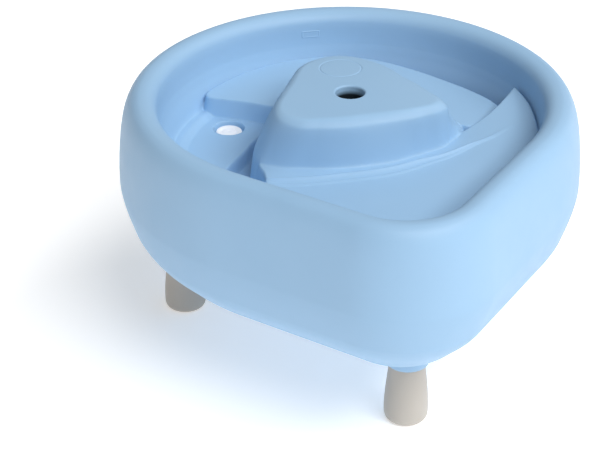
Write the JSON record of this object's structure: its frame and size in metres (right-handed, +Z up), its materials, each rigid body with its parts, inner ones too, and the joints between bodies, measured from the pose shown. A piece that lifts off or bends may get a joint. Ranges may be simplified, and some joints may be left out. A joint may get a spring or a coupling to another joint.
{
  "type": "water play table",
  "caption": "Low round play table with a moulded water basin, fan-shaped steps round a middle hill with a pole hole, a lift-out drain plug and short tapered peg legs",
  "frame": {"origin": "on the floor under the middle of the bounding box", "axes": "+Z up, the rounded front corner of the rim points along -Y, +X to the right seen from the front"},
  "size_m": [0.7, 0.7926, 0.4124],
  "materials": {
    "basin": "light blue rotationally moulded polyethylene, fine satin grain",
    "leg": "warm grey-beige moulded plastic, matte",
    "screw": "zinc-plated pan-head screw",
    "plug": "white moulded plastic",
    "seal": "black rubber ring"
  },
  "bodies": {
    "table": {"basin": "basin", "leg_front": "leg", "leg_left": "leg", "leg_right": "leg", "leg_screws": "screw"},
    "plug": {"drain_plug": "plug", "plug_seal": "seal"}
  },
  "joints": [
    {"name": "plug_lift", "type": "slide", "parent": "table", "child": "plug", "axis": [0, 0, 1], "range_m": [0, 0.16]}
  ]
}
